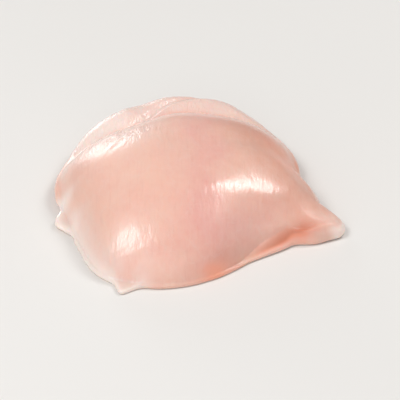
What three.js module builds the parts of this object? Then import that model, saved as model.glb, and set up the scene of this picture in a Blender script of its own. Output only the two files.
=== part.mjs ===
// A boneless, skinless chicken thigh, raw, lying smooth side up. One closed body in millimetres, +Z up.
// The outline from above is a smooth loop with a tail at the right, a sharp front corner and a small left tip.
// A domed muscle stands on it, a rolled rim closes it at the back, a thin lip runs along its front right side.
import * as THREE from 'three';
import { mergeVertices } from 'three/addons/utils/BufferGeometryUtils.js';

// Driving dimensions, mm and degrees. Bearings turn from +X towards +Y round the hub.
const HUB = { x: -5, y: 6 };
const CROWN = { height: 26.2, x: -6, y: 12, frontFall: 0.0012, backFall: 0.0042, sideFall: 0.0012 };
const TAIL = {
  fromX: 8, fromY: 4, toX: 51.5, toY: -15.5, rootHeight: 21.9, tipHeight: 4.4, rootWidth: 26, tipWidth: 6 };
const TAIL_ROUNDNESS = 2.4;
const TAIL_FILLET = 3.5;
const SECTORS = 120;
const DOME_RINGS = 17;
const EDGE_RINGS = 6;
const UNDER_RINGS = 11;
// Exponents that draw the rings together towards the outline, where the surface turns most.
const UPPER_RING_EASE = 1.7;
const UNDER_RING_EASE = 1.5;
// The rolled rim is highest at this inset from the outline and drops to both sides, more where it is higher.
const RIM_ARCH = { inset: 6, drop: 0.0022, thinLip: 1.6, most: 14 };
const SLOPE_BELOW_DOME = 3;
// The underside curls up to the lip over this many times the lip's height.
const UNDERCUT = 1.4;
const BONE_HOLLOW = { depth: 2.6, halfWidth: 14, halfLength: 31, bearing: 97 };

// A measure round the outline: a base plus smooth swells, each [bearing, spread, amount, steepness].
const SMOOTH_REACH = { base: 47.1, swells: [
  [-108, 33, 12, 2], [32, 30, -2.9, 2], [92, 34, 4.4, 2], [140, 20, 1.3, 2], [-13, 14, 4.8, 2],
  [178, 18, 1.8, 2]] };
const SPUR_REACH = { base: 0.3, swells: [
  [-20.5, 5.5, 3.5, 4], [-26, 9.5, 8.6, 4], [-114.3, 3.8, 5.2, 2], [-122, 8, 2.4, 2], [-133, 6, 0.9, 2],
  [-150, 6, 0.9, 2], [-163, 6, 2.4, 2]] };
const LIP_WIDTH = { base: 0.8, swells: [[103, 48, 11, 4], [-46, 17, 2.9, 2], [-150, 24, 1.4, 2]] };
const LIP_TOP = { base: 1.6, swells: [
  [104, 54, 14, 4], [28, 26, 6, 2], [178, 18, 6, 2], [-20, 9, 2.6, 2], [-45, 15, 1.4, 2], [113, 6, -1.2, 2]] };
const LIP_LIFT = { base: 0.7, swells: [
  [104, 54, 7.6, 4], [28, 26, 4.6, 2], [178, 20, 3.8, 2], [-20, 9, 1.2, 2], [-45, 15, 0.5, 2]] };
const LIP_ROUND = { base: 1, swells: [
  [104, 54, 6.5, 4], [28, 26, 4.5, 2], [178, 20, 4, 2], [-20, 9, 1.2, 2], [-45, 15, 1, 2]] };
const JOIN_FILLET = { base: 5, swells: [[104, 50, -3.1, 4], [-35, 18, -4, 2]] };
const DOME_FULLNESS = { base: 2.9, swells: [[95, 45, 0.6, 2]] };

// Soft hills and hollows on the crown: [x, y, half width in x, half width in y, lean of y on x, height].
const CROWN_FORMS = [[-25, -12, 15, 18, 0, 1.2], [20, -4, 24, 11, -0.35, 0.8], [-2, -5, 7, 30, 0, -0.9]];

const clamp = (value, low, high) => Math.min(Math.max(value, low), high);

function around(measure, bearing) {
  let sum = measure.base;
  for (const [centre, spread, amount, steepness] of measure.swells) {
    const turn = Math.abs(((bearing - centre + 540) % 360) - 180);
    sum += amount * Math.exp(-Math.pow(turn / spread, steepness));
  }
  return sum;
}

// The larger of two heights, with the corner between them filled softly over the given height.
function softMax(a, b, fillet) {
  const share = clamp(0.5 + (0.5 * (a - b)) / fillet, 0, 1);
  return b + (a - b) * share + fillet * share * (1 - share);
}

function crownHeight(x, y) {
  const back = y - CROWN.y;
  const side = x - CROWN.x;
  let height = CROWN.height - (back < 0 ? CROWN.frontFall : CROWN.backFall) * back * back;
  height -= CROWN.sideFall * side * side;
  for (const [formX, formY, wideX, wideY, lean, rise] of CROWN_FORMS) {
    const offX = (x - formX) / wideX;
    const offY = (y - formY - lean * (x - formX)) / wideY;
    height += rise * Math.exp(-offX * offX - offY * offY);
  }
  return height;
}

// A ridge of muscle that runs out of the dome, gets lower and thinner and ends as the tail.
function tailHeight(x, y) {
  const length = Math.hypot(TAIL.toX - TAIL.fromX, TAIL.toY - TAIL.fromY);
  const alongX = (TAIL.toX - TAIL.fromX) / length;
  const alongY = (TAIL.toY - TAIL.fromY) / length;
  const part = clamp(((x - TAIL.fromX) * alongX + (y - TAIL.fromY) * alongY) / length, 0, 1);
  const away = Math.hypot(x - TAIL.fromX - part * length * alongX, y - TAIL.fromY - part * length * alongY);
  const height = TAIL.rootHeight + (TAIL.tipHeight - TAIL.rootHeight) * part;
  const width = TAIL.rootWidth + (TAIL.tipWidth - TAIL.rootWidth) * part;
  return height * (1 - Math.pow(clamp(away / width, 0, 1.2), TAIL_ROUNDNESS));
}

function topHeight(radius, bearing, footReach, reach) {
  const angle = THREE.MathUtils.degToRad(bearing);
  const x = HUB.x + radius * Math.cos(angle);
  const y = HUB.y + radius * Math.sin(angle);
  const out = radius / footReach;
  const fullness = around(DOME_FULLNESS, bearing);
  const share = out > 1 ? -SLOPE_BELOW_DOME * (out - 1) : Math.sqrt(1 - Math.pow(clamp(out, 0, 1), fullness));
  const lipTop = around(LIP_TOP, bearing);
  const inset = reach - radius;
  const arch = clamp(lipTop - RIM_ARCH.thinLip, 0, RIM_ARCH.most) * RIM_ARCH.drop;
  const lip = lipTop - arch * (inset - RIM_ARCH.inset) ** 2;
  let height = softMax(crownHeight(x, y) * share, lip, around(JOIN_FILLET, bearing));
  height = softMax(height, tailHeight(x, y), TAIL_FILLET);
  const lift = around(LIP_LIFT, bearing);
  const near = clamp(inset / around(LIP_ROUND, bearing), 0, 1);
  return lift + (height - lift) * Math.sqrt(1 - (1 - near) * (1 - near));
}

// The underside lies flat, rises to the lip all round, and has a long shallow hollow where the bone was.
function underHeight(radius, bearing, reach) {
  const lift = around(LIP_LIFT, bearing);
  const near = clamp((reach - radius) / (UNDERCUT * lift), 0, 1);
  const rise = lift * (1 - Math.sqrt(1 - (1 - near) * (1 - near)));
  const turn = THREE.MathUtils.degToRad(bearing - BONE_HOLLOW.bearing);
  const out = Math.hypot(
    (radius * Math.cos(turn)) / BONE_HOLLOW.halfLength,
    (radius * Math.sin(turn)) / BONE_HOLLOW.halfWidth);
  return rise + BONE_HOLLOW.depth * Math.pow(1 - Math.min(out, 1) ** 2, 2);
}

// Rings from the hub over the dome to its foot, over the lip to the outline, and back under to the hub.
function ringPoint(ring, bearing) {
  const smooth = around(SMOOTH_REACH, bearing);
  const foot = smooth - around(LIP_WIDTH, bearing);
  const reach = smooth + around(SPUR_REACH, bearing);
  if (ring <= DOME_RINGS) {
    const radius = foot * (1 - Math.pow(1 - ring / DOME_RINGS, UPPER_RING_EASE));
    return [radius, topHeight(radius, bearing, foot, reach)];
  }
  if (ring <= DOME_RINGS + EDGE_RINGS) {
    const part = (ring - DOME_RINGS) / EDGE_RINGS;
    const radius = foot + (reach - foot) * (1 - Math.pow(1 - part, UPPER_RING_EASE));
    return [radius, topHeight(radius, bearing, foot, reach)];
  }
  const part = (ring - DOME_RINGS - EDGE_RINGS) / UNDER_RINGS;
  const radius = reach * (1 - Math.pow(part, UNDER_RING_EASE));
  return [radius, underHeight(radius, bearing, reach)];
}

function thighGeometry() {
  const rings = DOME_RINGS + EDGE_RINGS + UNDER_RINGS;
  const sphere = new THREE.SphereGeometry(1, SECTORS, rings);
  sphere.rotateX(Math.PI / 2);
  sphere.deleteAttribute('normal');
  sphere.deleteAttribute('uv');
  const place = sphere.attributes.position;
  for (let i = 0; i < place.count; i++) {
    const x = place.getX(i);
    const y = place.getY(i);
    const ring = Math.round((Math.acos(clamp(place.getZ(i), -1, 1)) / Math.PI) * rings);
    if (ring === 0 || ring === rings) {
      place.setXYZ(i, HUB.x, HUB.y, ringPoint(ring, 0)[1]);
      continue;
    }
    const bearing = THREE.MathUtils.radToDeg(Math.atan2(y, x));
    const [radius, height] = ringPoint(ring, bearing);
    const angle = THREE.MathUtils.degToRad(bearing);
    place.setXYZ(i, HUB.x + radius * Math.cos(angle), HUB.y + radius * Math.sin(angle), height);
  }
  const closed = mergeVertices(sphere, 1e-4);
  closed.computeBoundingBox();
  const middle = closed.boundingBox.getCenter(new THREE.Vector3());
  closed.translate(-middle.x, -middle.y, 0);
  closed.computeVertexNormals();
  return closed;
}

const meat = new THREE.MeshStandardMaterial({ name: 'raw chicken meat', color: 0xe9b8a6, roughness: 0.35 });
const thigh = new THREE.Mesh(thighGeometry(), meat);
thigh.name = 'chicken_thigh';

const group = new THREE.Group();
group.name = 'boneless_chicken_thigh';
group.add(thigh);
export default group;
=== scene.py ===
"""A raw boneless, skinless chicken thigh, smooth side up, on a pale studio floor. Laid out as an add-on."""
import math
import bpy
import numpy as np
from bpy.props import FloatProperty, FloatVectorProperty, IntProperty, PointerProperty
from mathutils import Matrix, Vector, noise as perlin


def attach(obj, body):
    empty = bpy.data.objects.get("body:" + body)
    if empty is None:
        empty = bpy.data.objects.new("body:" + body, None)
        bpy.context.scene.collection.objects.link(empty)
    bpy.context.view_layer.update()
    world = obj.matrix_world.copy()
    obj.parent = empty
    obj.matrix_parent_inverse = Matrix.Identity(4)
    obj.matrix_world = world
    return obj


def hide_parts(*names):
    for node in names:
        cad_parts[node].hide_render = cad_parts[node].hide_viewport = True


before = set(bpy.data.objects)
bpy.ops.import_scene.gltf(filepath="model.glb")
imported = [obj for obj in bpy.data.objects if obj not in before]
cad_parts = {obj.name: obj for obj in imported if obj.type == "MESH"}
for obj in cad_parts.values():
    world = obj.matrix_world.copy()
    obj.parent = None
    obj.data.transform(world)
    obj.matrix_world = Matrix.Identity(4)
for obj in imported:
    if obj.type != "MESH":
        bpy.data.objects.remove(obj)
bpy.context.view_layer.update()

bl_info = {
    "name": "Raw Chicken Thigh",
    "version": (1, 0, 0),
    "blender": (4, 5, 0),
    "location": "View3D > Sidebar > Thigh",
    "description": "Builds a raw boneless chicken thigh with its rolled rim, trimmed skirt, fat and sinew",
    "category": "Add Mesh",
}

# Measures of the shape, in mm and degrees. Bearings turn from +X towards +Y round the hub.
MM_PER_M, M_PER_MM = 1000, 0.001
HUB = (-4.384, 3.859)
CROWN_HEIGHT, CROWN_X, CROWN_Y = 26.2, -5.384, 9.859
# How fast the crown falls away from its top, in mm for each square mm.
FRONT_FALL, BACK_FALL, SIDE_FALL = 0.0012, 0.0042, 0.0012
# Soft hills and hollows on the crown: x, y, half width in x and y, lean of y on x, height.
CROWN_FORMS = ((-24.4, -14.1, 15, 18, 0, 0.6), (16.0, -18.0, 24, 11, -0.45, 1.13),
               (-1.4, -7.1, 6.8, 30, 0, -0.43))
# Share of the crown's height that is lost beyond the dome's foot, for each radius of the foot.
SLOPE_BELOW_DOME = 3
# The tail is a ridge from its root to its tip. Its heights and widths are given at the root and at the tip.
TAIL_ROOT, TAIL_TIP = np.array((14.78, -1.98)), np.array((49.84, -22.0))
TAIL_HEIGHTS, TAIL_WIDTHS = (21.28, 5.3), (26.99, 8.0)
TAIL_ROUNDNESS, TAIL_FILLET = 1.6, 7.0
# How much wider the tail is on its far side.
TAIL_FAR_SIDE = 1.2

# A measure round the outline: a base, then smooth swells as (bearing, spread, amount, steepness).
SMOOTH_REACH = (47.1, ((-108, 33, 12, 2), (32, 30, -2.76, 2), (92, 34, 4.4, 2), (140, 20, 1.3, 2),
                       (-13, 14, 4.37, 2), (178, 18, 1.8, 2), (6.05, 15.94, -3.5, 2),
                       (-122, 12, 2.8, 2), (-62, 12, -1.7, 2), (-40, 7, 1.2, 2)))
SPUR_REACH = (0.3, ((-20.5, 5.5, 3.5, 4), (-26, 9.5, 8.6, 4), (-26.5, 3, 1.6, 2), (-111.6, 3.3, 5.4, 2),
                    (-160, 4, 2.0, 2), (-146.5, 4, -0.5, 2), (-167.5, 3.5, -0.5, 2), (-157.5, 5, 1.6, 2)))
LIP_WIDTH = (0.8, ((103, 48, 11, 4), (-46, 17, 2.9, 2), (-150, 24, 0.3, 2), (-92, 20, -0.4, 2)))
LIP_TOP = (1.6, ((104, 54, 14, 4), (28.9, 24.68, 8.0, 2), (178, 18, 6, 2), (-20, 9, 1.8, 2),
                 (-45, 15, 1.3, 2), (113, 6, -1.2, 2)))
LIP_LIFT = (0.7, ((104, 54, 7.6, 4), (28, 26, 4.6, 2), (178, 20, 3.8, 2), (-20, 9, 1.2, 2),
                  (-45, 15, 0.5, 2)))
LIP_ROUND = (1.0, ((104, 54, 6.5, 4), (28, 26, 4.5, 2), (178, 20, 4, 2), (-22, 9, 3.4, 2), (-45, 15, 1, 2)))
JOIN_FILLET = (5.0, ((104, 50, -1.8, 4), (-56, 10, -2.2, 2)))
DOME_FULLNESS = (2.9, ((95, 45, 0.6, 2),))
# How far the trimmed edge wanders in and out at each bearing.
RAGGED = (0.14, ((-140, 32, 0.22, 4), (104, 60, -0.02, 4), (-24, 8, -0.05, 2)))
# Noise along the edge is read on a circle of this radius.
NOISE_CIRCLE = 50
# Lengths of the wander's coarse and fine waves, and the share of the fine ones.
RAGGED_COARSE, RAGGED_FINE, RAGGED_FINE_SHARE = 7, 2.6, 0.6

# The rim's upper face is arched: it is highest at this inset and falls by this much for each square mm.
ARCH_INSET, ARCH_FALL = 6, 0.0022
# The arch grows with the height of the lip above the thin one, up to the most.
ARCH_THIN, ARCH_MOST = 1.6, 14
RIM_WAVE_HEIGHT, RIM_WAVE_LENGTH = 0.35, 13
# The right lobe of the rim lies over the left one along a slanting line through this bearing and radius.
OVERLAP_BEARING, OVERLAP_RADIUS, OVERLAP_LEAN = 108, 39, 3.25
OVERLAP_STEP, OVERLAP_RISE, OVERLAP_DIP, OVERLAP_DIP_WIDTH = 0.5, 4, 0.7, 5
# The crease between body and rim: its place as a share of the foot's radius, and its half width.
CREASE_PLACE, CREASE_HALF = 1.005, 1.5
# The pale roll along the near right edge: height, inset and half width.
ROLL_HEIGHT, ROLL_INSET, ROLL_HALF = 1.3, 2.6, 1.8

# The fold between the body and the pale roll that runs into the tab: x, y, depth, half width.
GROOVE = ((5.5, -46.0, 0.2, 1.0), (14.5, -39.8, 0.4, 1.1), (21.9, -34.4, 0.6, 1.3), (27.8, -29.8, 0.8, 1.6),
          (33.0, -26.4, 0.95, 1.9), (38.0, -23.9, 0.9, 2.4), (43.0, -21.8, 0.4, 2.6), (47.5, -20.0, 0.0, 2.6))
# Sharp little folds of the membrane on the upper side.
FOLDS = (
    ((-42.5, 20.5, 0.2, 0.8), (-36.5, 22.0, 0.15, 0.9), (-30.0, 26.5, 0.15, 0.9), (-24.0, 30.5, 0.1, 0.8)),
    ((-33.0, -46.6, 0.08, 0.8), (-28.5, -45.4, 0.17, 0.9), (-24.0, -44.9, 0.15, 0.9),
     (-19.0, -43.4, 0.05, 0.8)),
    ((-30.5, -43.6, 0.03, 0.7), (-26.0, -42.7, 0.06, 0.8), (-21.0, -41.6, 0.03, 0.7)))
# The soft shoulder on the right of the body, which carries the long highlight.
SHOULDER = ((-4, -24.5, 0.8, 6.6), (6, -21.3, 0.58, 6.6), (18, -22.0, 0.25, 6.6),
            (28, -20.0, 0.8, 6.6), (37, -13, 0, 6.6))
# Spots where the joins between crown, tail and rim are smoothed out: x, y, half widths, turn.
SMOOTH_SPOTS = ((22, -12, 10.0, 18.0, -22), (42, -8, 12.35, 4.0, -40), (41, -15, 9, 6, -25),
                (-28, 12, 16, 10, 20), (29.5, -23.0, 9, 4.0, 33))
# The smoothing is a blur of this size on cells of this size, within this distance of the middle.
BLUR_SIZE, BLUR_CELL, BLUR_SPAN = 4.5, 0.5, 66
# It fades out between these insets.
SMOOTH_INSETS = (1, 6)

# The hollow underneath where the bone was, and the waver of its edge.
HOLLOW_BEARING, HOLLOW_LENGTH, HOLLOW_WIDTH, HOLLOW_WAVER = 97, 31, 14, 0.12
# Width of the underside's rounding at its edge, for each mm that the lip is lifted.
UNDERCUT = 1.4
# Height of the soft swells underneath.
UNDER_SWELL = 0.35
# Seams between the muscles underneath: x, y, depth, half width.
SEAMS = (((-18, -41, 0.4, 1.3), (-15, -26, 1.3, 1.8), (-17, -8, 1.6, 2.0), (-13, 12, 1.3, 1.8),
          (-15, 34, 0.5, 1.4)),
         ((17, -30, 0.3, 1.2), (11, -16, 1.2, 1.7), (9, 2, 1.5, 2.0), (12, 20, 1.2, 1.8), (18, 36, 0.4, 1.2)),
         ((11, -16, 0.6, 1.3), (24, -13, 1.2, 1.6), (38, -15, 0.6, 1.3)),
         ((-17, -8, 0.7, 1.3), (-30, -4, 1.1, 1.6), (-43, -6, 0.4, 1.2)))
# The strands of sinew start at this height in metres, far below the flesh, and rise onto it.
SINEW_START = -0.06
# Distance from one point of a strand to the next, in metres.
SINEW_STEP = 0.0007
# Guide paths x, y of the strands.
SINEWS = (((-9, 37), (-7.5, 29), (-8.5, 20), (-6.5, 11)), ((-4, 39), (-3.5, 31), (-5.0, 24)),
          ((-1.5, -34), (-2.5, -27), (-1.0, -20), (-2.2, -12)), ((3.0, -31), (2.0, -25), (1.2, -17)),
          ((-19, 14), (-15, 8), (-11, 5), (-6, 3)), ((12, -6), (7, -2), (2, 0)),
          ((41, -19), (35, -17), (28, -14.5), (22, -13)), ((42, -21), (36, -19.5), (31, -18.5)))
# Beads are turned by up to this angle, in radians.
BEAD_TURN = 6.28
# What would sink into the floor is lifted to this height, in metres.
FLOOR_GAP = 0.00002

# Soft spots of colour and finish on the upper side: weight, centre, half widths, turn of the long axis.
PINK_SPOTS = ((0.6, (0, -34), 11, 12), (0.35, (-22, -48), 20, 6, 10), (0.35, (24, -22), 14, 6, 40),
              (0.35, (14, -34), 12, 6, 40), (0.45, (-16, 40), 5, 5))
ORANGE_SPOTS = ((0.12, (31, 7), 9, 11), (0.36, (18, 24), 15, 11, -30), (0.2, (36, -17), 7, 4, -30))
SILVER_SPOTS = ((1.0, (-31, 13), 12, 6.5, 15), (0.4, (-36, 31), 13, 5, 40), (0.35, (-25, -42), 8, 4, 20))
# Whitish spots painted as highlights: beside the bright patch on the left shoulder, and at the front left.
PAINTED_HIGHLIGHT_SPOTS = ((0.35, (-26, 8), 9, 6, 25), (0.3, (-27, -40.5), 8, 6))
MEMBRANE_SPOTS = ((0.12, (13, -34), 12, 6, 40), (0.4, (49, -20.5), 8, 5, -20))
DRY_SPOTS = ((0.9, (31, 8), 9, 12), (1.3, (42, -17.5), 9, 6, -25), (1.3, (35, -23.8), 8, 4, 30))
# The layers of the flesh's mesh that its material reads.
ZONES = ("pink", "tan", "groove", "blush", "membrane", "thin_edge_and_painted_highlight", "underside", "fat", "dry", "silverskin",
         "marbled")

# The stage, in metres and watts.
FLOOR_HALF_MM = 4000
WORLD_STRENGTH = 0.335
LAMP_TARGET, LAMP_DISTANCE = Vector((0.0, -0.004, 0.012)), 0.9
# Name, direction of the lamp, direction of the far end of its long side, long side, short side, power.
LAMPS = (("right_strip", (0.528, 0.285, 0.8), (0.857, 0.12, 0.642), 0.43, 0.2, 2.9),
         ("left_soft", (-0.50, -0.20, 0.84), (-0.50, 0.3, 0.84), 0.42, 0.42, 3.2),
         ("low_back", (-0.395, 0.89, 0.215), (0.3, 0.9, 0.215), 0.32, 0.42, 1.25),
         ("front_fill", (-0.2, -0.92, 0.5), (0.9, -0.9, 0.5), 1.2, 0.9, 2.9))
CAMERA_PLACE, CAMERA_AIM = Vector((0.0006, -1.6968, 1.1542)), Vector((0.0, -0.0025, 0.0042))
LENS_MM, SENSOR_MM = 500.0, 36.0
NEAREST, FARTHEST = 0.1, 20.0


def srgb(text):
    """A colour from its sRGB hex digits, as linear red, green, blue and 1."""
    parts = [int(text[i:i + 2], 16) / 255 for i in (0, 2, 4)]
    return tuple(c / 12.92 if c <= 0.04045 else ((c + 0.055) / 1.055) ** 2.4 for c in parts) + (1.0,)


def length(name, description, default, low, high):
    """A length in metres that a user may change."""
    return FloatProperty(name=name, description=description, default=default, min=low, max=high,
                         unit="LENGTH", subtype="DISTANCE")


def tint(name, description, text):
    """A colour that a user may change, from its sRGB hex digits."""
    return FloatVectorProperty(name=name, description=description, subtype="COLOR", size=4, min=0, max=1,
                               default=srgb(text))


class ThighForm(bpy.types.PropertyGroup):
    """Sizes of the meat's relief"""

    rings: IntProperty(name="Rings", description="Squares of faces from the middle to the outline, each side",
                       default=110, min=20, max=110)
    swell: length("Swell", "Height of the soft lumps of the muscle", 0.0001, 0, 0.002)
    fibre_gap: length("Fibre gap", "Distance from one bundle of fibres to the next", 0.0017, 0.0005, 0.005)
    fibre_depth: length("Fibre depth", "Depth of the furrows between bundles of fibres", 0.000035, 0, 0.0006)
    wrinkle_depth: length("Wrinkle depth", "Depth of the wrinkles in the silverskin", 0.0002, 0, 0.002)
    rim_crease: length("Rim crease", "Depth of the crease between the body and the rolled rim",
                       0.00015, 0, 0.003)
    hollow_depth: length("Bone hollow", "Depth of the hollow where the bone was taken out",
                         0.0034, 0, 0.006)


class ThighFat(bpy.types.PropertyGroup):
    """Sizes of the beads of fat and the strands of sinew"""

    bead_size: length("Bead size", "Usual radius of a bead of fat", 0.00062, 0.0001, 0.003)
    bead_density: FloatProperty(name="Bead density", default=60000.0, min=0, max=1e6,
                                description="Beads on each square metre where fat gathers")
    seed: IntProperty(name="Seed", description="Seed of the beads' places", default=11, min=0)
    sinew_radius: length("Sinew radius", "Radius of a strand of sinew at its middle", 0.0007, 0.00005, 0.002)


class ThighColours(bpy.types.PropertyGroup):
    """Colours of the meat, its fat and the stage"""

    peach: tint("Peach", "Flesh over the plump left part", "F0BFAC")
    pink: tint("Pink", "Flesh along the valley and near the edges", "E7A69B")
    # The right flank's colour: a browner flesh tone, also darker than the peach as painted shade.
    tan: tint("Tan", "Flesh on the right flank", "DFA690")
    deep: tint("Deep", "Dark meat between fibres and on the cut underside", "D08070")
    # This colour is painted shade in the groove, laid deepest where the groove is deepest. It also tints a
    # few spots of flesh.
    orange_and_groove_shade: tint("Orange", "Flesh in the groove above the near lip", "D27F63")
    blush: tint("Blush", "Bright flesh at the near edge and on the near lip", "FBA88C")
    speckle: tint("Speckle", "Pale specks in the flesh", "F7D3C6")
    # This colour also paints part of the glow of the highlights where the silverskin is.
    membrane: tint("Membrane", "Whitish membrane on the rim and the thin edges", "F0D6CC")
    # This colour also paints highlights: along the left rim, beside the left shoulder's bright patch and at
    # the front left.
    edge: tint("Edge", "Thin trimmed edges that the light shines through", "FBE6DD")
    fat: tint("Fat", "Chicken fat", "F2DDBC")
    pale_fat: tint("Pale fat", "Paler clouds in the beads of fat", "F7E9D6")
    sinew: tint("Sinew", "Tendon and connective tissue", "F0D3C6")
    pink_sinew: tint("Pink sinew", "Pinker clouds in the sinew", "E6B0A2")
    floor: tint("Floor", "Pale studio floor", "E7E4E0")
    pale_floor: tint("Pale floor", "Paler clouds in the floor", "EAE8E5")
    sky: tint("Sky", "Soft light from all round", "F6F5F4")


def around(measure, bearing):
    """The value of a measure at these bearings."""
    base, swells = measure
    total = np.full(np.shape(bearing), float(base))
    for centre, spread, amount, steepness in swells:
        turn = np.abs((bearing - centre + 540) % 360 - 180)
        total += amount * np.exp(-(turn / spread) ** steepness)
    return total


def soft_max(a, b, fillet):
    """The larger of two heights, with the corner between them filled softly."""
    share = np.clip(0.5 + 0.5 * (a - b) / fillet, 0, 1)
    return b + (a - b) * share + fillet * share * (1 - share)


def ease(low, high, value):
    """0 at low and before it, 1 at high and beyond, and a smooth step between."""
    t = np.clip((value - low) / (high - low), 0, 1)
    return t * t * (3 - 2 * t)


def arc(start, full, fade, end, bearing):
    """1 between two bearings, and a smooth step down to 0 on either side."""
    return ease(start, full, bearing) * ease(end, fade, bearing)


def hill(x, y, centre, half_x, half_y, turn=0.0):
    """A soft spot of height 1 at a centre, with its long axis turned by so many degrees."""
    c, s = math.cos(math.radians(turn)), math.sin(math.radians(turn))
    u, v = (x - centre[0]) * c + (y - centre[1]) * s, (y - centre[1]) * c - (x - centre[0]) * s
    return np.exp(-(u / half_x) ** 2 - (v / half_y) ** 2)


def spots(x, y, table):
    """The sum of soft spots that a table gives by weight, centre, half widths and turn."""
    return sum(weight * hill(x, y, *spot) for weight, *spot in table)


def ripple(x, y, z, sizes, seed):
    """Perlin noise from about -1 to 1, with hills of the given sizes in mm along x, y and z."""
    points = np.stack([x / sizes[0] + 31.7 * seed, y / sizes[1] - 17.3 * seed, z / sizes[2] + 5.1 * seed], -1)
    return 1.6 * np.array([perlin.noise(p) for p in points.reshape(-1, 3).tolist()]).reshape(np.shape(x))


def near_path(x, y, path):
    """The gap to a path of (x, y, depth, half width), and the depth and half width at its nearest place."""
    best = np.full(np.shape(x), np.inf)
    depth, half = np.zeros(np.shape(x)), np.ones(np.shape(x))
    for a, b in zip(path[:-1], path[1:]):
        step = np.array(b[:2]) - np.array(a[:2])
        part = np.clip(((x - a[0]) * step[0] + (y - a[1]) * step[1]) / (step @ step), 0, 1)
        gap = np.hypot(x - a[0] - part * step[0], y - a[1] - part * step[1])
        closer = gap < best
        best = np.where(closer, gap, best)
        depth = np.where(closer, a[2] + (b[2] - a[2]) * part, depth)
        half = np.where(closer, a[3] + (b[3] - a[3]) * part, half)
    return best, depth, half


def furrow(x, y, path):
    """Depth of a soft furrow along a path."""
    gap, depth, half = near_path(x, y, path)
    return depth * np.exp(-(gap / half) ** 2)


def crown_height(x, y):
    """Height of the crown's top surface, before it falls to its foot."""
    back, side = y - CROWN_Y, x - CROWN_X
    height = CROWN_HEIGHT - np.where(back < 0, FRONT_FALL, BACK_FALL) * back ** 2 - SIDE_FALL * side ** 2
    for fx, fy, wide_x, wide_y, lean, rise in CROWN_FORMS:
        height += rise * np.exp(-((x - fx) / wide_x) ** 2 - ((y - fy - lean * (x - fx)) / wide_y) ** 2)
    return height


def tail_height(x, y):
    """Height of the ridge that runs out into the tab."""
    run = TAIL_TIP - TAIL_ROOT
    part = np.clip(((x - TAIL_ROOT[0]) * run[0] + (y - TAIL_ROOT[1]) * run[1]) / (run @ run), 0, 1)
    away = np.hypot(x - TAIL_ROOT[0] - part * run[0], y - TAIL_ROOT[1] - part * run[1])
    height = TAIL_HEIGHTS[0] + (TAIL_HEIGHTS[1] - TAIL_HEIGHTS[0]) * part
    width = TAIL_WIDTHS[0] + (TAIL_WIDTHS[1] - TAIL_WIDTHS[0]) * part
    far = run[0] * (y - TAIL_ROOT[1]) > run[1] * (x - TAIL_ROOT[0])
    width = np.where(far, width * TAIL_FAR_SIDE, width)
    # past its width the ridge goes on falling a little, so that the soft join with the body stays smooth
    return height * (1 - np.clip(away / width, 0, 1.2) ** TAIL_ROUNDNESS)


def outline(bearing, ragged=True):
    """Radius of the dome's foot and of the outline at these bearings, with the ragged edge or without."""
    smooth = around(SMOOTH_REACH, bearing)
    foot, reach = smooth - around(LIP_WIDTH, bearing), smooth + around(SPUR_REACH, bearing)
    if not ragged:
        return foot, reach
    angle = np.radians(bearing)
    x, y, z = NOISE_CIRCLE * np.cos(angle), NOISE_CIRCLE * np.sin(angle), 0 * angle
    coarse, fine = ripple(x, y, z, (RAGGED_COARSE,) * 3, 3), ripple(x, y, z, (RAGGED_FINE,) * 3, 4)
    return foot, reach + around(RAGGED, bearing) * (coarse + RAGGED_FINE_SHARE * fine)


def back_side(bearing):
    """1 along the rolled rim at the far side, 0 elsewhere."""
    return arc(34, 56, 150, 172, bearing)


def crown_and_rim(x, y, radius, bearing, foot, reach):
    """Height of the upper side before its joins are smoothed: dome, rolled rim and tail."""
    out, inset = radius / foot, reach - radius
    dome = np.sqrt(1 - np.clip(out, 0, 1) ** around(DOME_FULLNESS, bearing))
    share = np.where(out > 1, -SLOPE_BELOW_DOME * (out - 1), dome)
    behind = back_side(bearing)
    along = np.radians(bearing) * NOISE_CIRCLE
    wave = RIM_WAVE_HEIGHT * ripple(along, 0 * along, 0 * along, (RIM_WAVE_LENGTH,) * 3, 7)
    lip_top = around(LIP_TOP, bearing) + behind * wave
    lip = lip_top - np.clip(lip_top - ARCH_THIN, 0, ARCH_MOST) * ARCH_FALL * (inset - ARCH_INSET) ** 2
    overlap = bearing - OVERLAP_BEARING + OVERLAP_LEAN * (radius - OVERLAP_RADIUS)
    step = OVERLAP_STEP * ease(OVERLAP_RISE, -OVERLAP_RISE, overlap)
    dip = OVERLAP_DIP * np.exp(-((overlap - OVERLAP_RISE) / OVERLAP_DIP_WIDTH) ** 2)
    lip = lip + behind * (step - dip)
    height = soft_max(crown_height(x, y) * share, lip, around(JOIN_FILLET, bearing))
    return soft_max(height, tail_height(x, y), TAIL_FILLET)


def smooth_joins(x, y):
    """How much a wide blur would raise or lower the upper side at these points."""
    lines = np.arange(-BLUR_SPAN, BLUR_SPAN + BLUR_CELL / 2, BLUR_CELL)
    gx, gy = np.meshgrid(lines, lines, indexing="ij")
    bearing = np.degrees(np.arctan2(gy - HUB[1], gx - HUB[0]))
    foot, reach = outline(bearing, ragged=False)
    raw = crown_and_rim(gx, gy, np.hypot(gx - HUB[0], gy - HUB[1]), bearing, foot, reach)
    farthest = int(3 * BLUR_SIZE / BLUR_CELL)
    steps = np.arange(-farthest, farthest + 1)
    weights = np.exp(-0.5 * (steps * BLUR_CELL / BLUR_SIZE) ** 2)
    soft = raw
    for axis in (0, 1):
        soft = sum(w * np.roll(soft, k, axis) for k, w in zip(steps, weights)) / weights.sum()
    change = soft - raw
    u, v = (x - lines[0]) / BLUR_CELL, (y - lines[0]) / BLUR_CELL
    a, b = u.astype(int), v.astype(int)
    u, v = u - a, v - b
    return ((change[a, b] * (1 - u) + change[a + 1, b] * u) * (1 - v)
            + (change[a, b + 1] * (1 - u) + change[a + 1, b + 1] * u) * v)


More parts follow.
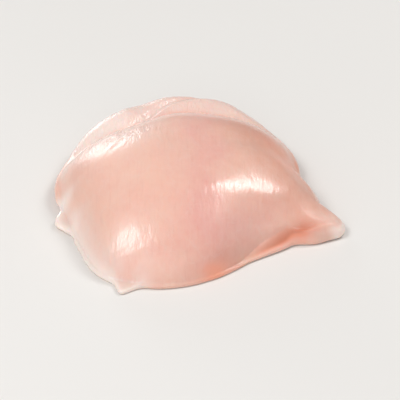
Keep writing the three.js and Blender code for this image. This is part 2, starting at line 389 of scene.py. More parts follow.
def carve(x, y, height, radius, bearing, foot, reach, form):
    """The smoothed upper side with its crease, groove, near roll and folds, rounded off at the outline."""
    inset = reach - radius
    crease = form.rim_crease * MM_PER_M * np.exp(-((radius / foot - CREASE_PLACE) * foot / CREASE_HALF) ** 2)
    height = height - back_side(bearing) * crease
    height = height + furrow(x, y, SHOULDER) - furrow(x, y, GROOVE)
    height = height - sum(furrow(x, y, fold) for fold in FOLDS)
    roll = ROLL_HEIGHT * np.exp(-((inset - ROLL_INSET) / ROLL_HALF) ** 2)
    height = height + arc(-66, -48, -34, -24, bearing) * roll
    lift = around(LIP_LIFT, bearing)
    near = np.clip(inset / around(LIP_ROUND, bearing), 0, 1)
    return lift + (height - lift) * np.sqrt(1 - (1 - near) ** 2)


def under_height(x, y, radius, bearing, reach, form):
    """Height of the underside: flat where it rests, raised to the lip all round, hollow at the bone."""
    inset = reach - radius
    lift = around(LIP_LIFT, bearing)
    near = np.clip(inset / (UNDERCUT * lift), 0, 1)
    rise = lift * (1 - np.sqrt(1 - (1 - near) ** 2))
    turn = np.radians(bearing - HOLLOW_BEARING)
    out = np.hypot(radius * np.cos(turn) / HOLLOW_LENGTH, radius * np.sin(turn) / HOLLOW_WIDTH)
    out = out * (1 + HOLLOW_WAVER * ripple(x, y, 0 * x, (9, 9, 9), 12))
    hollow = form.hollow_depth * MM_PER_M * (1 - np.minimum(out, 1) ** 2) ** 2
    swell = UNDER_SWELL * (1 + ripple(x, y, 0 * x, (15, 15, 15), 9)) * ease(1, 8, inset)
    return rise + hollow + swell + sum(furrow(x, y, path) for path in SEAMS) * ease(0.5, 6, inset)


def disc_grid(rings):
    """A square grid laid over a disc: ring number and bearing of each of its points."""
    i, j = np.meshgrid(np.arange(-rings, rings + 1), np.arange(-rings, rings + 1), indexing="ij")
    wide = np.abs(i) >= np.abs(j)
    with np.errstate(divide="ignore", invalid="ignore"):
        sideways = 45.0 * j / i + np.where(i < 0, 180, 0)
        upright = 90 - 45.0 * i / j + np.where(j < 0, 180, 0)
    bearing = np.nan_to_num(np.where(wide, sideways, upright))
    return np.maximum(np.abs(i), np.abs(j)), (bearing + 180) % 360 - 180


def grid_faces(ids, rings):
    """Triangles over a grid of vertex numbers, split along the diagonals that run out from the middle."""
    a, b, c, d = ids[:-1, :-1], ids[1:, :-1], ids[1:, 1:], ids[:-1, 1:]
    k = np.arange(-rings, rings) + 0.5
    same = (k[:, None] * k[None, :]) > 0
    first = np.where(same[..., None], np.stack([a, b, c], -1), np.stack([a, b, d], -1))
    second = np.where(same[..., None], np.stack([a, c, d], -1), np.stack([b, c, d], -1))
    return np.concatenate([first.reshape(-1, 3), second.reshape(-1, 3)])


def vertex_normals(points, faces):
    """Normals of the points, as the sum of their faces' normals weighted by area."""
    a, b, c = (points[faces[:, k]] for k in range(3))
    flat = np.cross(b - a, c - a)
    total = np.stack([sum(np.bincount(faces[:, k], flat[:, axis], len(points)) for k in range(3))
                      for axis in range(3)], -1)
    return total / np.maximum(np.linalg.norm(total, axis=1, keepdims=True), 1e-12)


def mesh_object(name, points_mm, faces, layers=None):
    """A smooth mesh object at the origin from points in mm; layers are its named point attributes."""
    mesh = bpy.data.meshes.new(name)
    mesh.from_pydata((points_mm * M_PER_MM).tolist(), [], faces.tolist())
    mesh.shade_smooth()
    for label, values in (layers or {}).items():
        mesh.attributes.new(label, "FLOAT", "POINT").data.foreach_set("value", values.astype(np.float32))
    return linked_object(name, mesh)


def linked_object(name, data):
    """An object in the scene that shows this mesh, lamp or camera."""
    piece = bpy.data.objects.new(name, data)
    bpy.context.scene.collection.objects.link(piece)
    return piece


def add(tree, kind, inputs=None, **settings):
    """Adds one node with its settings. Each input is a value, an output or a node. A node gives its first
    enabled output."""
    made = tree.nodes.new(kind)
    for label, value in settings.items():
        setattr(made, label, value)
    for label, value in (inputs or {}).items():
        if isinstance(value, bpy.types.Node):
            value = next(output for output in value.outputs if output.enabled)
        if isinstance(value, bpy.types.NodeSocket):
            tree.links.new(value, made.inputs[label])
        else:
            made.inputs[label].default_value = value
    return made


def group_tree(name, inputs):
    """A Geometry Nodes tree with named inputs (name: kind of socket), its input node and the sockets' ids."""
    tree = bpy.data.node_groups.new(name, "GeometryNodeTree")
    tree.interface.new_socket("Geometry", in_out="OUTPUT", socket_type="NodeSocketGeometry")
    ids = {label: tree.interface.new_socket(label, in_out="INPUT", socket_type="NodeSocket" + kind).identifier
           for label, kind in {"Geometry": "Geometry", **inputs}.items()}
    return tree, add(tree, "NodeGroupInput"), ids


def grown(name, start, tree, ids, values):
    """A plain mesh object that a Geometry Nodes tree, with these values, makes from a start object."""
    modifier = start.modifiers.new(name, "NODES")
    modifier.node_group = tree
    for label, value in values.items():
        modifier[ids[label]] = value
    mesh = bpy.data.meshes.new_from_object(start.evaluated_get(bpy.context.evaluated_depsgraph_get()))
    start.modifiers.remove(modifier)
    mesh.name = name
    return linked_object(name, mesh)


def bead_tree():
    """Scatters squashed beads of fat where the layer fat_gather says, half sunk in the flesh."""
    tree, given, ids = group_tree("scattered_beads", {"Density": "Float", "Size": "Float", "Seed": "Int",
                                                      "Material": "Material"})
    gather = add(tree, "GeometryNodeInputNamedAttribute", {"Name": "fat_gather"}, data_type="FLOAT")
    dense = add(tree, "ShaderNodeMath", {0: gather, 1: given.outputs["Density"]}, operation="MULTIPLY")
    points = add(tree, "GeometryNodeDistributePointsOnFaces", {
        "Mesh": given.outputs["Geometry"], "Density": dense, "Seed": given.outputs["Seed"]})
    bead = add(tree, "GeometryNodeMeshUVSphere", {"Segments": 8, "Rings": 5, "Radius": 1.0})
    # the Random Value node's sockets 0 and 1 are its limits for a vector, 2 and 3 those for a number
    size = add(tree, "FunctionNodeRandomValue", {2: 0.0, 3: 1.0, "Seed": 1}, data_type="FLOAT")
    # most beads are small: from a half to twice the size
    for operation, *numbers in (("POWER", 2.0), ("MULTIPLY_ADD", 1.5, 0.5),
                                ("MULTIPLY", given.outputs["Size"])):
        size = add(tree, "ShaderNodeMath", dict(enumerate([size, *numbers])), operation=operation)
    squash = add(tree, "FunctionNodeRandomValue", {0: (0.8, 0.7, 0.3), 1: (1.7, 1.2, 0.5), "Seed": 2},
                 data_type="FLOAT_VECTOR")
    shape = add(tree, "ShaderNodeVectorMath", {0: squash, "Scale": size}, operation="SCALE")
    angle = add(tree, "FunctionNodeRandomValue", {2: 0.0, 3: BEAD_TURN, "Seed": 3}, data_type="FLOAT")
    spin = add(tree, "FunctionNodeAxisAngleToRotation", {"Axis": (0, 0, 1), "Angle": angle})
    turn = add(tree, "FunctionNodeRotateRotation", {0: points.outputs["Rotation"], 1: spin},
               rotation_space="LOCAL")
    placed = add(tree, "GeometryNodeInstanceOnPoints", {"Points": points, "Instance": bead, "Rotation": turn,
                                                        "Scale": shape})
    end_tree(tree, placed, given)
    return tree, ids


def strand_tree():
    """Lays tapering strands along guide paths on the flesh: each point rises onto it from below."""
    tree, given, ids = group_tree("laid_strands", {"Flesh": "Object", "Radius": "Float",
                                                   "Material": "Material"})
    flesh = add(tree, "GeometryNodeObjectInfo", {"Object": given.outputs["Flesh"]}).outputs["Geometry"]
    curve = add(tree, "GeometryNodeMeshToCurve", {"Mesh": given.outputs["Geometry"]})
    curve = add(tree, "GeometryNodeCurveSplineType", {"Curve": curve}, spline_type="CATMULL_ROM")
    curve = add(tree, "GeometryNodeResampleCurve", {"Curve": curve, "Length": SINEW_STEP}, mode="LENGTH")
    landed = add(tree, "GeometryNodeRaycast", {
        "Target Geometry": flesh, "Source Position": add(tree, "GeometryNodeInputPosition"),
        "Ray Direction": (0, 0, 1), "Ray Length": 1.0}).outputs["Hit Position"]
    laid = add(tree, "GeometryNodeSetPosition", {"Geometry": curve, "Position": landed})
    # the radius swells from a fifth at the ends to the whole in the middle, and is roughened by noise
    rough = add(tree, "ShaderNodeTexNoise", {"Scale": per_mm(2.5), "Detail": 1.0})
    radius = add(tree, "GeometryNodeSplineParameter")
    for operation, *numbers in (("MULTIPLY", math.pi), ("SINE",), ("MULTIPLY_ADD", 0.8, 0.2),
                                ("MULTIPLY", rough), ("MULTIPLY", given.outputs["Radius"])):
        radius = add(tree, "ShaderNodeMath", dict(enumerate([radius, *numbers])), operation=operation)
    # the noise is about a half, so the ring has a radius of 2
    ring = add(tree, "GeometryNodeCurvePrimitiveCircle", {"Resolution": 7, "Radius": 2.0})
    tube = add(tree, "GeometryNodeCurveToMesh", {"Curve": laid, "Profile Curve": ring, "Scale": radius,
                                                 "Fill Caps": True})
    end_tree(tree, tube, given)
    return tree, ids


def end_tree(tree, shape, given):
    """Ends a tree: real meshes, lifted out of the floor, smooth, with the material from the tree's input."""
    real = add(tree, "GeometryNodeRealizeInstances", {"Geometry": shape})
    place = add(tree, "GeometryNodeInputPosition")
    lifted = add(tree, "ShaderNodeVectorMath", {0: place, 1: (-1, -1, FLOOR_GAP)}, operation="MAXIMUM")
    real = add(tree, "GeometryNodeSetPosition", {"Geometry": real, "Position": lifted})
    smooth = add(tree, "GeometryNodeSetShadeSmooth", {"Geometry": real})
    coated = add(tree, "GeometryNodeSetMaterial", {"Geometry": smooth, "Material": given.outputs["Material"]})
    add(tree, "NodeGroupOutput", {0: coated})


def new_material(name):
    """A material with an empty node tree, and the Object coordinates in that tree."""
    material = bpy.data.materials.new(name)
    material.use_nodes = True
    material.node_tree.nodes.clear()
    return material, material.node_tree, add(material.node_tree, "ShaderNodeTexCoord").outputs["Object"]


def per_mm(size):
    """A texture's scale on Object coordinates, in metres, from the size of its pattern in mm."""
    return MM_PER_M / size


def stretched(tree, place, sizes, turn):
    """Coordinates drawn out to these sizes in mm along x, y and z, after a turn round z in radians."""
    scale = [per_mm(size) for size in sizes]
    return add(tree, "ShaderNodeMapping", {"Vector": place, "Scale": scale, "Rotation": (0, 0, turn)})


def meat_patterns(tree, place):
    """The patterns in the flesh, each from 0 to 1."""
    # fibre bundles are 0.9 mm across and run for a centimetre or more, roughly front to back
    along = stretched(tree, place, (0.9, 15, 5), 0.06)
    # silverskin draws the surface into fine crinkles across its pull
    across = stretched(tree, place, (0.9, 3.2, 2.4), 0.55)
    noises = {"blotch": (place, per_mm(16), 3, 0.55, 0), "mottle": (place, per_mm(3.2), 4, 0.6, 0),
              "grain": (place, per_mm(0.9), 3, 0.6, 0), "fibre": (along, 1, 3, 0.6, 0.25),
              "crinkle": (across, 1, 3, 0.55, 0)}
    patterns = {}
    for label, (vector, scale, detail, roughness, distortion) in noises.items():
        patterns[label] = add(tree, "ShaderNodeTexNoise", {
            "Vector": vector, "Scale": scale, "Detail": detail, "Roughness": roughness,
            "Distortion": distortion})
    # marbling is a wide mesh of thin pale lines, drawn out along the fibres
    drawn = stretched(tree, place, (7, 19, 9), 0.3)
    bends = add(tree, "ShaderNodeTexNoise", {"Vector": place, "Scale": per_mm(6), "Detail": 2})
    wander = add(tree, "ShaderNodeVectorMath", {0: drawn, 1: bends.outputs["Color"]}, operation="ADD")
    patterns["web"] = add(tree, "ShaderNodeTexVoronoi", {"Vector": wander, "Scale": 1},
                          feature="DISTANCE_TO_EDGE")
    return patterns


def meat_colour(tree, zone, pattern, colours):
    """The flesh's colour: peach, with the zones' colours laid over it one by one."""
    # zone, pattern, the pattern's range and the range that it is turned to, colour
    layers = (("tan", None, None, colours.tan),
              (None, "mottle", (0.3, 0.75, 0.0, 0.22), colours.speckle),
              (None, "fibre", (0.46, 0.3, 0.0, 0.1), colours.deep),
              ("marbled", "web", (0.0, 0.035, 1.0, 0.0), colours.membrane),
              ("underside", "fibre", (0.25, 0.7, 0.85, 0.35), colours.deep),
              # painted shade in the groove, and the tinted spots of flesh
              ("groove", None, None, colours.orange_and_groove_shade),
              ("blush", None, None, colours.blush),
              ("membrane", "mottle", (0.25, 0.7, 0.7, 1.0), colours.membrane),
              ("fat", "mottle", (0.3, 0.5, 0.5, 1.0), colours.fat),
              ("thin_edge_and_painted_highlight", None, None, colours.edge))
    patch = add(tree, "ShaderNodeMapRange", {0: pattern["blotch"], 1: 0.35, 2: 0.65, 3: -0.16, 4: 0.2})
    pinkness = add(tree, "ShaderNodeMath", {0: zone["pink"], 1: patch}, operation="ADD", use_clamp=True)
    colour = add(tree, "ShaderNodeMix", {0: pinkness, 6: tuple(colours.peach), 7: tuple(colours.pink)},
                 data_type="RGBA")
    for label, source, limits, top in layers:
        share = zone.get(label)
        if source:
            spread = add(tree, "ShaderNodeMapRange", dict(enumerate([pattern[source], *limits])))
            # a layer without a zone lies everywhere
            share = add(tree, "ShaderNodeMath", {0: spread, 1: zone.get(label, 1.0)}, operation="MULTIPLY")
        colour = add(tree, "ShaderNodeMix", {0: share, 6: colour, 7: tuple(top)}, data_type="RGBA")
    return colour


def meat_relief(tree, zone, pattern):
    """The flesh's finest relief: fibre lines, crinkles where the silverskin is, and grain."""
    crinkle = add(tree, "ShaderNodeMath", {0: pattern["crinkle"], 1: zone["silverskin"]},
                  operation="MULTIPLY")
    relief = add(tree, "ShaderNodeBump", {"Height": pattern["fibre"], "Distance": 0.0001, "Strength": 0.3})
    for height, distance, strength in ((crinkle, 0.0006, 0.7), (pattern["grain"], 0.00005, 0.4)):
        relief = add(tree, "ShaderNodeBump", {"Height": height, "Distance": distance, "Strength": strength,
                                              "Normal": relief})
    return relief


def meat_material(colours):
    """Raw dark poultry flesh, trimmed with a knife and wet. It looks soft and lit from within, peach with
    pinker bands, finely streaked by its fibres, under a thin film of water that gives small highlights."""
    material, tree, place = new_material("raw_chicken_flesh_knife_trimmed")
    zone = {}
    for label in ZONES:
        layer = add(tree, "ShaderNodeAttribute", attribute_type="GEOMETRY", attribute_name=label)
        zone[label] = layer.outputs["Fac"]
    pattern = meat_patterns(tree, place)
    colour = meat_colour(tree, zone, pattern, colours)
    relief = meat_relief(tree, zone, pattern)
    rough = add(tree, "ShaderNodeMapRange", {0: pattern["mottle"], 1: 0.3, 2: 0.7, 3: 0.38, 4: 0.52})
    # the film of water is thin where the surface has dried
    wet = add(tree, "ShaderNodeMapRange", {0: zone["dry"], 1: 0, 2: 1, 3: 1.0, 4: 0.12})
    flesh = add(tree, "ShaderNodeBsdfPrincipled", {
        "Base Color": colour, "Roughness": rough, "IOR": 1.4, "Normal": relief,
        "Subsurface Weight": 0.35, "Subsurface Radius": (1.0, 0.42, 0.3), "Subsurface Scale": 0.0028,
        "Coat Weight": wet, "Coat Roughness": 0.19, "Coat IOR": 1.5, "Coat Normal": relief})
    add(tree, "ShaderNodeOutputMaterial", {"Surface": flesh})
    return material


def clouded(tree, place, size, detail, first, second):
    """Soft clouds of this size in mm, and the blend of two colours that follows them."""
    cloud = add(tree, "ShaderNodeTexNoise", {"Vector": place, "Scale": per_mm(size), "Detail": detail})
    return cloud, add(tree, "ShaderNodeMix", {0: cloud, 6: tuple(first), 7: tuple(second)}, data_type="RGBA")


def fat_material(colours):
    """Soft raw chicken fat left by the knife: cream, waxy and slightly see-through, with a moist gloss."""
    material, tree, place = new_material("chicken_fat_soft_raw")
    cloud, colour = clouded(tree, place, 1.5, 3, colours.fat, colours.pale_fat)
    bump = add(tree, "ShaderNodeBump", {"Height": cloud, "Distance": 0.0002, "Strength": 0.4})
    fat = add(tree, "ShaderNodeBsdfPrincipled", {
        "Base Color": colour, "Roughness": 0.36, "IOR": 1.45, "Normal": bump, "Subsurface Weight": 0.5,
        "Subsurface Radius": (1.0, 0.8, 0.5), "Subsurface Scale": 0.0018, "Coat Weight": 0.6,
        "Coat Roughness": 0.15})
    add(tree, "ShaderNodeOutputMaterial", {"Surface": fat})
    return material


def sinew_material(colours):
    """Tendon and torn connective tissue: pearly strands with a silky shine along them."""
    material, tree, place = new_material("chicken_sinew_cut")
    _, colour = clouded(tree, place, 2.2, 3, colours.sinew, colours.pink_sinew)
    sinew = add(tree, "ShaderNodeBsdfPrincipled", {
        "Base Color": colour, "Roughness": 0.34, "IOR": 1.43, "Subsurface Weight": 0.4,
        "Subsurface Radius": (1.0, 0.7, 0.6), "Subsurface Scale": 0.0012, "Coat Weight": 0.5,
        "Coat Roughness": 0.12})
    add(tree, "ShaderNodeOutputMaterial", {"Surface": sinew})
    return material


def floor_material(colours):
    """A matt painted studio sweep, with cloudiness too faint to draw the eye."""
    material, tree, place = new_material("studio_floor_matt_paint")
    _, colour = clouded(tree, place, 250, 2, colours.floor, colours.pale_floor)
    paint = add(tree, "ShaderNodeBsdfPrincipled", {"Base Color": colour, "Roughness": 0.6})
    add(tree, "ShaderNodeOutputMaterial", {"Surface": paint})
    return material


def silver_zone(x, y):
    """Where the wrinkled silverskin shows: the upper left shoulder, the rim beside it and the front left."""
    return np.clip(spots(x, y, SILVER_SPOTS), 0, 1)


def upper_relief(x, y, z, inset, form):
    """Fine forms of the upper side, in mm along the surface's normal."""
    lumps = ripple(x, y, z, (17, 15, 17), 21) + 0.35 * ripple(x, y, z, (6.5, 8, 6.5), 22)
    lumps = lumps * form.swell * MM_PER_M * ease(0.6, 6, inset)
    gap = form.fibre_gap * MM_PER_M
    bent = x + 1.4 * ripple(x, y, z, (26, 26, 26), 23)
    fibres = ripple(bent, y, z, (gap, 16, 9), 24) + 0.5 * ripple(bent, y, z, (gap * 0.45, 9, 5), 25)
    # the fibres show less towards the left
    fibres = fibres * form.fibre_depth * MM_PER_M * ease(-60, -5, x) * ease(0.3, 2, inset)
    slip = 0.9 * ripple(x, y, z, (4, 4, 4), 26)
    across, down = 0.83 * x - 0.55 * y, 0.55 * x + 0.83 * y
    crumple = np.abs(ripple(across + slip, down, z, (3.0, 7.5, 6), 27))
    wrinkles = silver_zone(x, y) * form.wrinkle_depth * MM_PER_M * (0.8 - 2.2 * crumple)
    return lumps + fibres + wrinkles * ease(0.3, 1.6, inset)


def fat_pads(x, y, z, inset):
    """Where fat lies underneath: ragged bands along the seams and patches near the edge, from 0 to 1."""
    seam = np.clip(sum(np.exp(-(near_path(x, y, path)[0] / 4.2) ** 2) for path in SEAMS), 0, 1)
    edge = 0.75 * np.exp(-((inset - 6) / 3.5) ** 2) * ease(-0.1, 0.7, ripple(x, y, z, (16, 16, 16), 45))
    patchy = 0.42 * ripple(x, y, z, (4.2, 6.0, 4.2), 43) + 0.2 * ripple(x, y, z, (1.7, 2.2, 1.7), 46)
    return ease(0.42, 0.78, seam * 0.85 + edge + patchy) * ease(0.8, 3, inset)


def under_relief(x, y, z, inset):
    """Muscle bundles, torn fibres, pits and pads of fat underneath, in mm along the normal, only inwards."""
    slant = x + 0.15 * y
    fibres = ripple(slant, y, z, (1.5, 13, 9), 31) + 0.5 * ripple(slant, y, z, (0.8, 7, 5), 32)
    bundles = ripple(x + 0.2 * y, y, z, (6, 30, 9), 34)
    pits = np.clip(ripple(x, y, z, (3.2, 4.5, 4), 33) - 0.25, 0, 1)
    pads = fat_pads(x, y, z, inset)
    meat = 0.45 + 0.12 * fibres + 0.22 * bundles + 0.5 * pits
    lumps = 0.18 * ripple(x, y, z, (1.9, 2.3, 1.9), 35) + 0.12 * ripple(x, y, z, (0.9, 0.9, 0.9), 36)
    return -ease(0.5, 3, inset) * np.clip(meat * (1 - 0.8 * pads) + (0.12 + lumps) * pads, 0, 2)


def flesh_zones(x, y, z, bearing, inset):
    """The upper side's colours of flesh: pink bands, the right flank's darker tone with painted shade,
    painted shade in the groove, and a bright near edge.
    """
    bent = x + 3.5 * ripple(x, y, z, (19, 14, 19), 48)
    pink = 0.78 * hill(bent, y, (2, 6), 8.5, 34) + spots(x, y, PINK_SPOTS)
    # the right flank is darker: partly its flesh tone, partly painted shade
    tan = ease(2, 26, x) * ease(-30, -8, y) * (0.68 + 0.3 * ease(-6, 18, y))
    tan = tan + 0.35 * hill(x, y, (11, 19), 9, 13)
    # the groove's colour is painted shade, and it deepens with the groove's depth
    gap, depth, _ = near_path(x, y, GROOVE)
    groove = 0.9 * np.exp(-(gap / 2.5) ** 2) * np.clip(depth / 0.85, 0, 1) + spots(x, y, ORANGE_SPOTS)
    lip_width = 0.8 + 0.7 * ease(-42, -32, bearing)
    near_lip = ease(lip_width + 1, lip_width, inset) * arc(-64, -54, -38, -30, bearing)
    near_edge = np.exp(-((bearing + 79) / 6) ** 2) * ease(3.6, 0.8, inset)
    blush = 0.95 * near_edge + 0.7 * near_lip + 0.35 * hill(x, y, (31, 8), 9, 12)
    return {"pink": pink, "tan": tan, "groove": groove, "blush": blush}


def pale_zones(x, y, z, bearing, inset, rim, under):
    """Where the whitish membrane and the thin edges show, and where whitish painted highlights lie."""
    top = 1 - under
    wash = 0.5 + 0.5 * ripple(x, y, z, (12, 18, 12), 41)
    gap = near_path(x, y, GROOVE)[0]
    roll = ease(1.6, 3.2, gap) * ease(7.5, 4.5, inset) * arc(-58, -46, -20, -14, bearing)
    skirt = arc(-176, -166, -112, -100, bearing)
    # the rim's membrane ends in a wavy line underneath
    turned_under = under * ease(2, 9, inset + 3 * ripple(x, y, z, (4, 4, 4), 47))
    membrane = rim * (0.74 + 0.22 * wash) * (1 - turned_under) + 0.22 * roll
    # the skirt's membrane; where the silverskin is, the whitening is partly its own colour and partly painted
    # highlight
    membrane = membrane + 0.75 * skirt * ease(10, 1, inset) + 0.55 * silver_zone(x, y)
    membrane = membrane + top * spots(x, y, MEMBRANE_SPOTS)
    thin = 0.9 * skirt * ease(3.2, 0.2, inset)
    thin = thin + 0.35 * ease(1.4, 0.2, inset) * arc(-66, -56, -40, -30, bearing)
    tab_end = ease(2.4, 0.6, inset) * arc(-28.5, -25.5, -18, -15, bearing)
    # the left rim is whitened: partly its membrane, partly painted highlight along it
    left_rim_pale_and_painted_highlight = 0.65 * rim * ease(110, 122, bearing) * ease(0.0, 0.35, wash)
    left_tip = 0.5 * ease(7, 2, inset) * arc(-174, -166, -155, -145, bearing)
    # a pale left tip, plus painted highlights on the left rim and at the spots, in the thin edges' colour
    pale_and_painted_highlight = left_rim_pale_and_painted_highlight + left_tip + spots(x, y, PAINTED_HIGHLIGHT_SPOTS)
    return {"membrane": membrane * (1 - 0.6 * under), "thin_edge_and_painted_highlight": thin + tab_end + top * pale_and_painted_highlight}


def meat_layers(x, y, z, bearing, inset, out, under):
    """The zones of colour and finish on both sides: 0 is none, and 1 or more is all."""
    top = 1 - under
    behind = arc(36, 50, 150, 166, bearing)
    rim = behind * ease(0.92, 0.99, out)
    layers = {label: values * top for label, values in flesh_zones(x, y, z, bearing, inset).items()}
    layers.update(pale_zones(x, y, z, bearing, inset, rim, under))
    # dry spots: the far right edge, the crease before the rim, the tab and the near edge
    crease = behind * ease(112, 92, bearing) * np.exp(-((out - 0.97) / 0.06) ** 2)
    near_edge = 0.8 * ease(3, 1, inset) * arc(-88, -76, -20, -14, bearing)
    layers["dry"] = top * np.clip(spots(x, y, DRY_SPOTS) + crease + near_edge, 0, 1)
    seams = sum(furrow(x, y, path) for path in SEAMS)
    pads = fat_pads(x, y, z, inset)
    specks = 0.35 * hill(x, y, (16, 38), 6, 3, -25) * ease(0.0, 0.5, ripple(x, y, z, (2.2, 2.2, 2.2), 44))
    near_corner = 0.3 * hill(x, y, (17, -37.6), 4.5, 1.2, 42)
    layers["fat"] = under * np.clip(0.25 * seams + 0.8 * pads, 0, 1) + top * (near_corner + specks)
    layers["fat_gather"] = np.clip(under * (0.9 * pads + 0.3 * seams), 0, 1) * ease(2, 5, inset)
    layers["underside"] = under * ease(0, 3, inset)
    layers["silverskin"] = np.clip(silver_zone(x, y) + 0.6 * rim + 0.15, 0, 1) * top
    layers["marbled"] = 0.12 * top + 0.55 * under + 0.25 * rim
    return layers


def flesh(form):
    """Points in mm, faces and layers of the whole flesh, as two discs that share their outline."""
    rings = form.rings
    ring, bearing = disc_grid(rings)
    foot, reach = outline(bearing)
    # rings lie closer together towards the outline
    radius = reach * (1 - (1 - ring / rings) ** 1.3)
    angle = np.radians(bearing)
    x, y = HUB[0] + radius * np.cos(angle), HUB[1] + radius * np.sin(angle)
    smoothed = np.clip(sum(hill(x, y, spot[:2], *spot[2:]) for spot in SMOOTH_SPOTS), 0, 1)
    top_z = crown_and_rim(x, y, radius, bearing, foot, reach)
    top_z = top_z + smooth_joins(x, y) * smoothed * ease(*SMOOTH_INSETS, reach - radius)
    top_z = carve(x, y, top_z, radius, bearing, foot, reach, form)
    under_z = under_height(x, y, radius, bearing, reach, form)
    top_ids = np.arange(ring.size).reshape(ring.shape)
    inner = ring < rings
    under_ids = top_ids.copy()
    under_ids[inner] = ring.size + np.arange(inner.sum())
    faces = np.concatenate([grid_faces(top_ids, rings), grid_faces(under_ids, rings)[:, ::-1]])

    def both(upper, lower=None):
        return np.concatenate([upper.ravel(), (upper if lower is None else lower)[inner]])

    px, py, pz = both(x), both(y), both(top_z, under_z)
    under = both(np.zeros(ring.shape), np.ones(ring.shape))
    inset = both(reach - radius)
    points = np.stack([px, py, pz], -1)
    relief = np.where(under > 0, under_relief(px, py, pz, inset), upper_relief(px, py, pz, inset, form))
    points = points + vertex_normals(points, faces) * relief[:, None]
    points[:, 2] = np.maximum(points[:, 2], 0)
    return points, faces, meat_layers(px, py, pz, both(bearing), inset, both(radius / foot), under)


class THIGH_OT_meat(bpy.types.Operator):
    """Build the thigh's flesh: the body, the rolled rim, the skirt, the tab and the cut underside"""
    bl_idname = "thigh.meat"
    bl_label = "Meat"

    def execute(self, context):
        piece = mesh_object("thigh_flesh", *flesh(context.scene.thigh_form))
        piece.data.materials.append(meat_material(context.scene.thigh_colours))
        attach(piece, "root")
        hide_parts("chicken_thigh")
        return {"FINISHED"}


class THIGH_OT_fat(bpy.types.Operator):
    """Scatter small beads of fat underneath, along the seams and near the edge"""
    bl_idname = "thigh.fat"
    bl_label = "Fat Beads"

    def execute(self, context):
        fat = context.scene.thigh_fat
        tree, ids = bead_tree()
        piece = grown("fat_beads", bpy.data.objects["thigh_flesh"], tree, ids, {
            "Density": fat.bead_density, "Size": fat.bead_size, "Seed": fat.seed,
            "Material": fat_material(context.scene.thigh_colours)})
        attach(piece, "root")
        return {"FINISHED"}


class THIGH_OT_sinew(bpy.types.Operator):
    """Lay strands of sinew underneath, in the bone hollow, along the seams and on the tab"""
    bl_idname = "thigh.sinew"
    bl_label = "Sinew Strands"

    def execute(self, context):
        points, edges = [], []
        for path in SINEWS:
            edges += [(len(points) + k, len(points) + k + 1) for k in range(len(path) - 1)]
            points += [(x * M_PER_MM, y * M_PER_MM, SINEW_START) for x, y in path]
        mesh = bpy.data.meshes.new("sinew_guides")
        mesh.from_pydata(points, edges, [])
        guides = linked_object("sinew_guides", mesh)
        tree, ids = strand_tree()
        piece = grown("sinew_strands", guides, tree, ids, {
            "Flesh": bpy.data.objects["thigh_flesh"], "Radius": context.scene.thigh_fat.sinew_radius,
            "Material": sinew_material(context.scene.thigh_colours)})
        bpy.data.objects.remove(guides)
        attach(piece, "root")
        return {"FINISHED"}


def studio_floor(colours):
    """A wide pale floor at height 0."""
    side = FLOOR_HALF_MM
    corners = np.array([(-side, -side, 0), (side, -side, 0), (side, side, 0), (-side, side, 0)], float)
    floor = mesh_object("studio_floor", corners, np.array([(0, 1, 2), (0, 2, 3)]))
    floor.data.materials.append(floor_material(colours))
    return floor


def soft_light(scene, colours):
    """A pale world and four soft lamps, all aimed at the piece."""
    scene.world = bpy.data.worlds.new("pale_studio")
    scene.world.use_nodes = True
    background = scene.world.node_tree.nodes["Background"]
    background.inputs["Color"].default_value = tuple(colours.sky)
    background.inputs["Strength"].default_value = WORLD_STRENGTH
    for name, direction, end, long_side, short_side, power in LAMPS:
        lamp = bpy.data.lights.new(name, "AREA")
        lamp.shape, lamp.size, lamp.size_y, lamp.energy = "ELLIPSE", long_side, short_side, power
        back = Vector(direction).normalized()
        along = Vector(end).normalized() - back
        along = (along - back * along.dot(back)).normalized()
        turn = Matrix((along, back.cross(along), back)).transposed()
        holder = linked_object(name, lamp)
        holder.matrix_world = Matrix.Translation(LAMP_TARGET + back * LAMP_DISTANCE) @ turn.to_4x4()
        holder.visible_camera = False


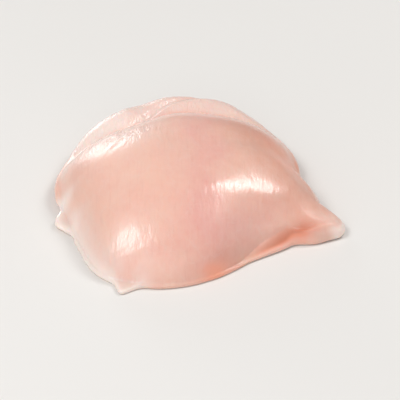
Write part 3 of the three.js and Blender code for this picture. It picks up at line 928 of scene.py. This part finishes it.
def photo_camera(scene):
    """A long lens at the photograph's viewing angle."""
    lens = bpy.data.cameras.new("photo_camera")
    lens.sensor_width, lens.lens = SENSOR_MM, LENS_MM
    lens.clip_start, lens.clip_end = NEAREST, FARTHEST
    camera = linked_object("photo_camera", lens)
    camera.location = CAMERA_PLACE
    camera.rotation_euler = (CAMERA_AIM - CAMERA_PLACE).to_track_quat("-Z", "Y").to_euler()
    scene.camera = camera


class THIGH_OT_stage(bpy.types.Operator):
    """Set the pale floor, the soft lights and the camera at the photograph's angle"""
    bl_idname = "thigh.stage"
    bl_label = "Stage"

    def execute(self, context):
        scene = context.scene
        floor = studio_floor(scene.thigh_colours)
        soft_light(scene, scene.thigh_colours)
        scene.view_settings.view_transform = "Standard"
        photo_camera(scene)
        return {"FINISHED"}


class THIGH_PT_sidebar(bpy.types.Panel):
    """Lists the thigh's pieces and sizes in the sidebar"""
    bl_idname = "THIGH_PT_sidebar"
    bl_label = "Chicken Thigh"
    bl_space_type = "VIEW_3D"
    bl_region_type = "UI"
    bl_category = "Thigh"

    def draw(self, context):
        for group in (context.scene.thigh_form, context.scene.thigh_fat, context.scene.thigh_colours):
            box = self.layout.box()
            for label in group.__annotations__:
                box.prop(group, label)
        for operator in OPERATORS:
            self.layout.operator(operator.bl_idname)


OPERATORS = (THIGH_OT_meat, THIGH_OT_fat, THIGH_OT_sinew, THIGH_OT_stage)
CLASSES = (ThighForm, ThighFat, ThighColours, *OPERATORS, THIGH_PT_sidebar)


def register():
    for one in CLASSES:
        bpy.utils.register_class(one)
    bpy.types.Scene.thigh_form = PointerProperty(type=ThighForm)
    bpy.types.Scene.thigh_fat = PointerProperty(type=ThighFat)
    bpy.types.Scene.thigh_colours = PointerProperty(type=ThighColours)


def unregister():
    del bpy.types.Scene.thigh_colours
    del bpy.types.Scene.thigh_fat
    del bpy.types.Scene.thigh_form
    for one in reversed(CLASSES):
        bpy.utils.unregister_class(one)


def main():
    register()
    bpy.ops.thigh.meat()
    bpy.ops.thigh.fat()
    bpy.ops.thigh.sinew()
    bpy.ops.thigh.stage()


if __name__ == "__main__":
    main()
